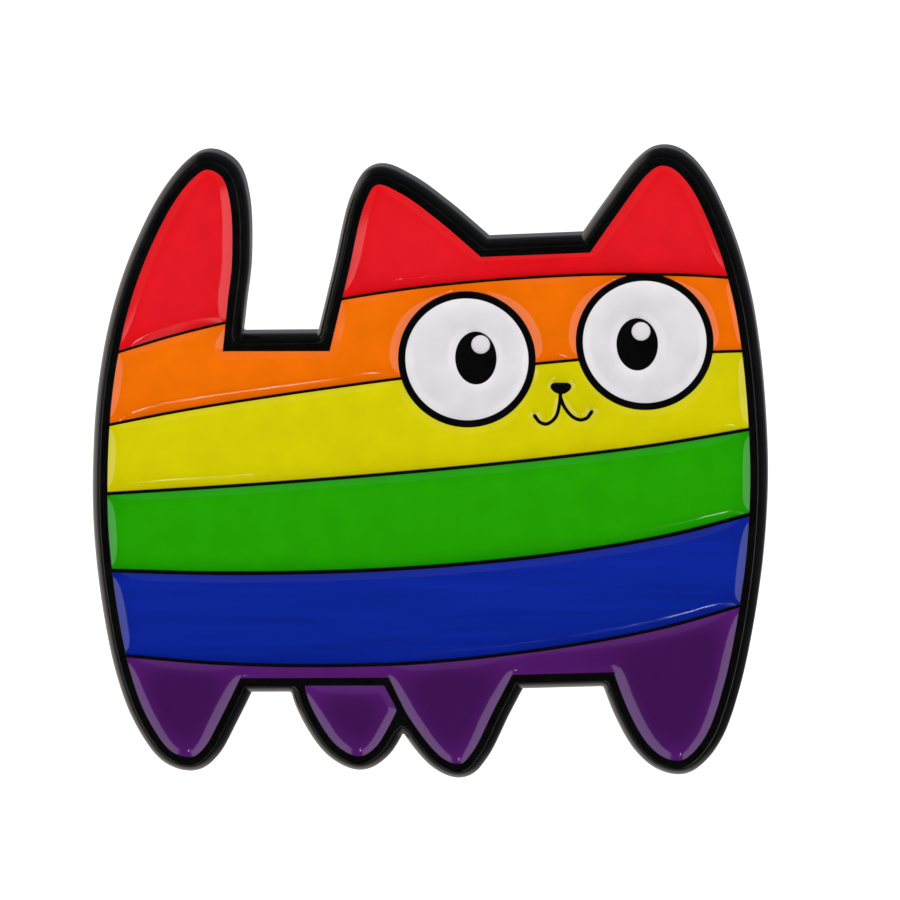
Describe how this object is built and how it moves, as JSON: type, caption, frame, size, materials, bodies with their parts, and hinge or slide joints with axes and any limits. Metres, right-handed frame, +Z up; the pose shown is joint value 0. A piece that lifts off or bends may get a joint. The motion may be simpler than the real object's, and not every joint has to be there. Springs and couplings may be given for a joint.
{
  "type": "enamel pin",
  "caption": "Flat cartoon-cat lapel pin in striped soft enamel with raised black metal lines, two posts and butterfly clutches.",
  "frame": {"origin": "middle of the smooth blank panel on the badge's back, midway between the two posts", "axes": "+X to the right of the badge seen from its front, +Y out of its back along the posts, +Z up; the face looks along -Y"},
  "size_m": [0.0383, 0.0108, 0.0362],
  "materials": {
    "black_metal": "dyed black metal, satin",
    "enamel_red": "soft enamel, glossy",
    "enamel_orange": "soft enamel, glossy",
    "enamel_yellow": "soft enamel, glossy",
    "enamel_green": "soft enamel, glossy",
    "enamel_blue": "soft enamel, glossy",
    "enamel_purple": "soft enamel, glossy",
    "enamel_white": "soft enamel, glossy",
    "clutch_nickel": "bright nickel plate",
    "spring_nickel": "bright nickel plate on spring strip"
  },
  "bodies": {
    "badge": {"base_plate": "black_metal", "enamel_red_tail": "enamel_red", "enamel_red_head": "enamel_red", "enamel_orange_body": "enamel_orange", "enamel_orange_cheek": "enamel_orange", "enamel_yellow": "enamel_yellow", "enamel_green": "enamel_green", "enamel_blue": "enamel_blue", "enamel_purple_body": "enamel_purple", "enamel_purple_hind_leg": "enamel_purple", "enamel_white_left_eye": "enamel_white", "enamel_white_left_glint": "enamel_white", "enamel_white_right_eye": "enamel_white", "enamel_white_right_glint": "enamel_white", "left_post": "black_metal", "right_post": "black_metal"},
    "left_clutch": {"left_clutch_cup": "clutch_nickel"},
    "left_outer_wing": {"left_clutch_outer_wing": "spring_nickel"},
    "left_inner_wing": {"left_clutch_inner_wing": "spring_nickel"},
    "right_clutch": {"right_clutch_cup": "clutch_nickel"},
    "right_outer_wing": {"right_clutch_outer_wing": "spring_nickel"},
    "right_inner_wing": {"right_clutch_inner_wing": "spring_nickel"}
  },
  "joints": [
    {"name": "left_clutch_slide", "type": "slide", "parent": "badge", "child": "left_clutch", "axis": [0, 1, 0], "range_m": [-0.0006, 0.0076]},
    {"name": "left_outer_squeeze", "type": "hinge", "parent": "left_clutch", "child": "left_outer_wing", "pos_m": [-0.0139, 0.0019, 0.001], "axis": [0, 0, -1], "range_deg": [0, 5], "stiffness_Nm_per_rad": 0.008, "springref_deg": -2.86},
    {"name": "left_inner_squeeze", "type": "hinge", "parent": "left_clutch", "child": "left_inner_wing", "pos_m": [-0.0051, 0.0019, 0.001], "axis": [0, 0, 1], "range_deg": [0, 5], "stiffness_Nm_per_rad": 0.008, "springref_deg": -2.86},
    {"name": "right_clutch_slide", "type": "slide", "parent": "badge", "child": "right_clutch", "axis": [0, 1, 0], "range_m": [-0.0006, 0.0076]},
    {"name": "right_outer_squeeze", "type": "hinge", "parent": "right_clutch", "child": "right_outer_wing", "pos_m": [0.0139, 0.0019, 0.001], "axis": [0, 0, 1], "range_deg": [0, 5], "stiffness_Nm_per_rad": 0.008, "springref_deg": -2.86},
    {"name": "right_inner_squeeze", "type": "hinge", "parent": "right_clutch", "child": "right_inner_wing", "pos_m": [0.0051, 0.0019, 0.001], "axis": [0, 0, -1], "range_deg": [0, 5], "stiffness_Nm_per_rad": 0.008, "springref_deg": -2.86}
  ],
  "couplings": [
    {"joint": "left_inner_squeeze", "follows": "left_outer_squeeze", "ratio": 1},
    {"joint": "right_inner_squeeze", "follows": "right_outer_squeeze", "ratio": 1}
  ]
}
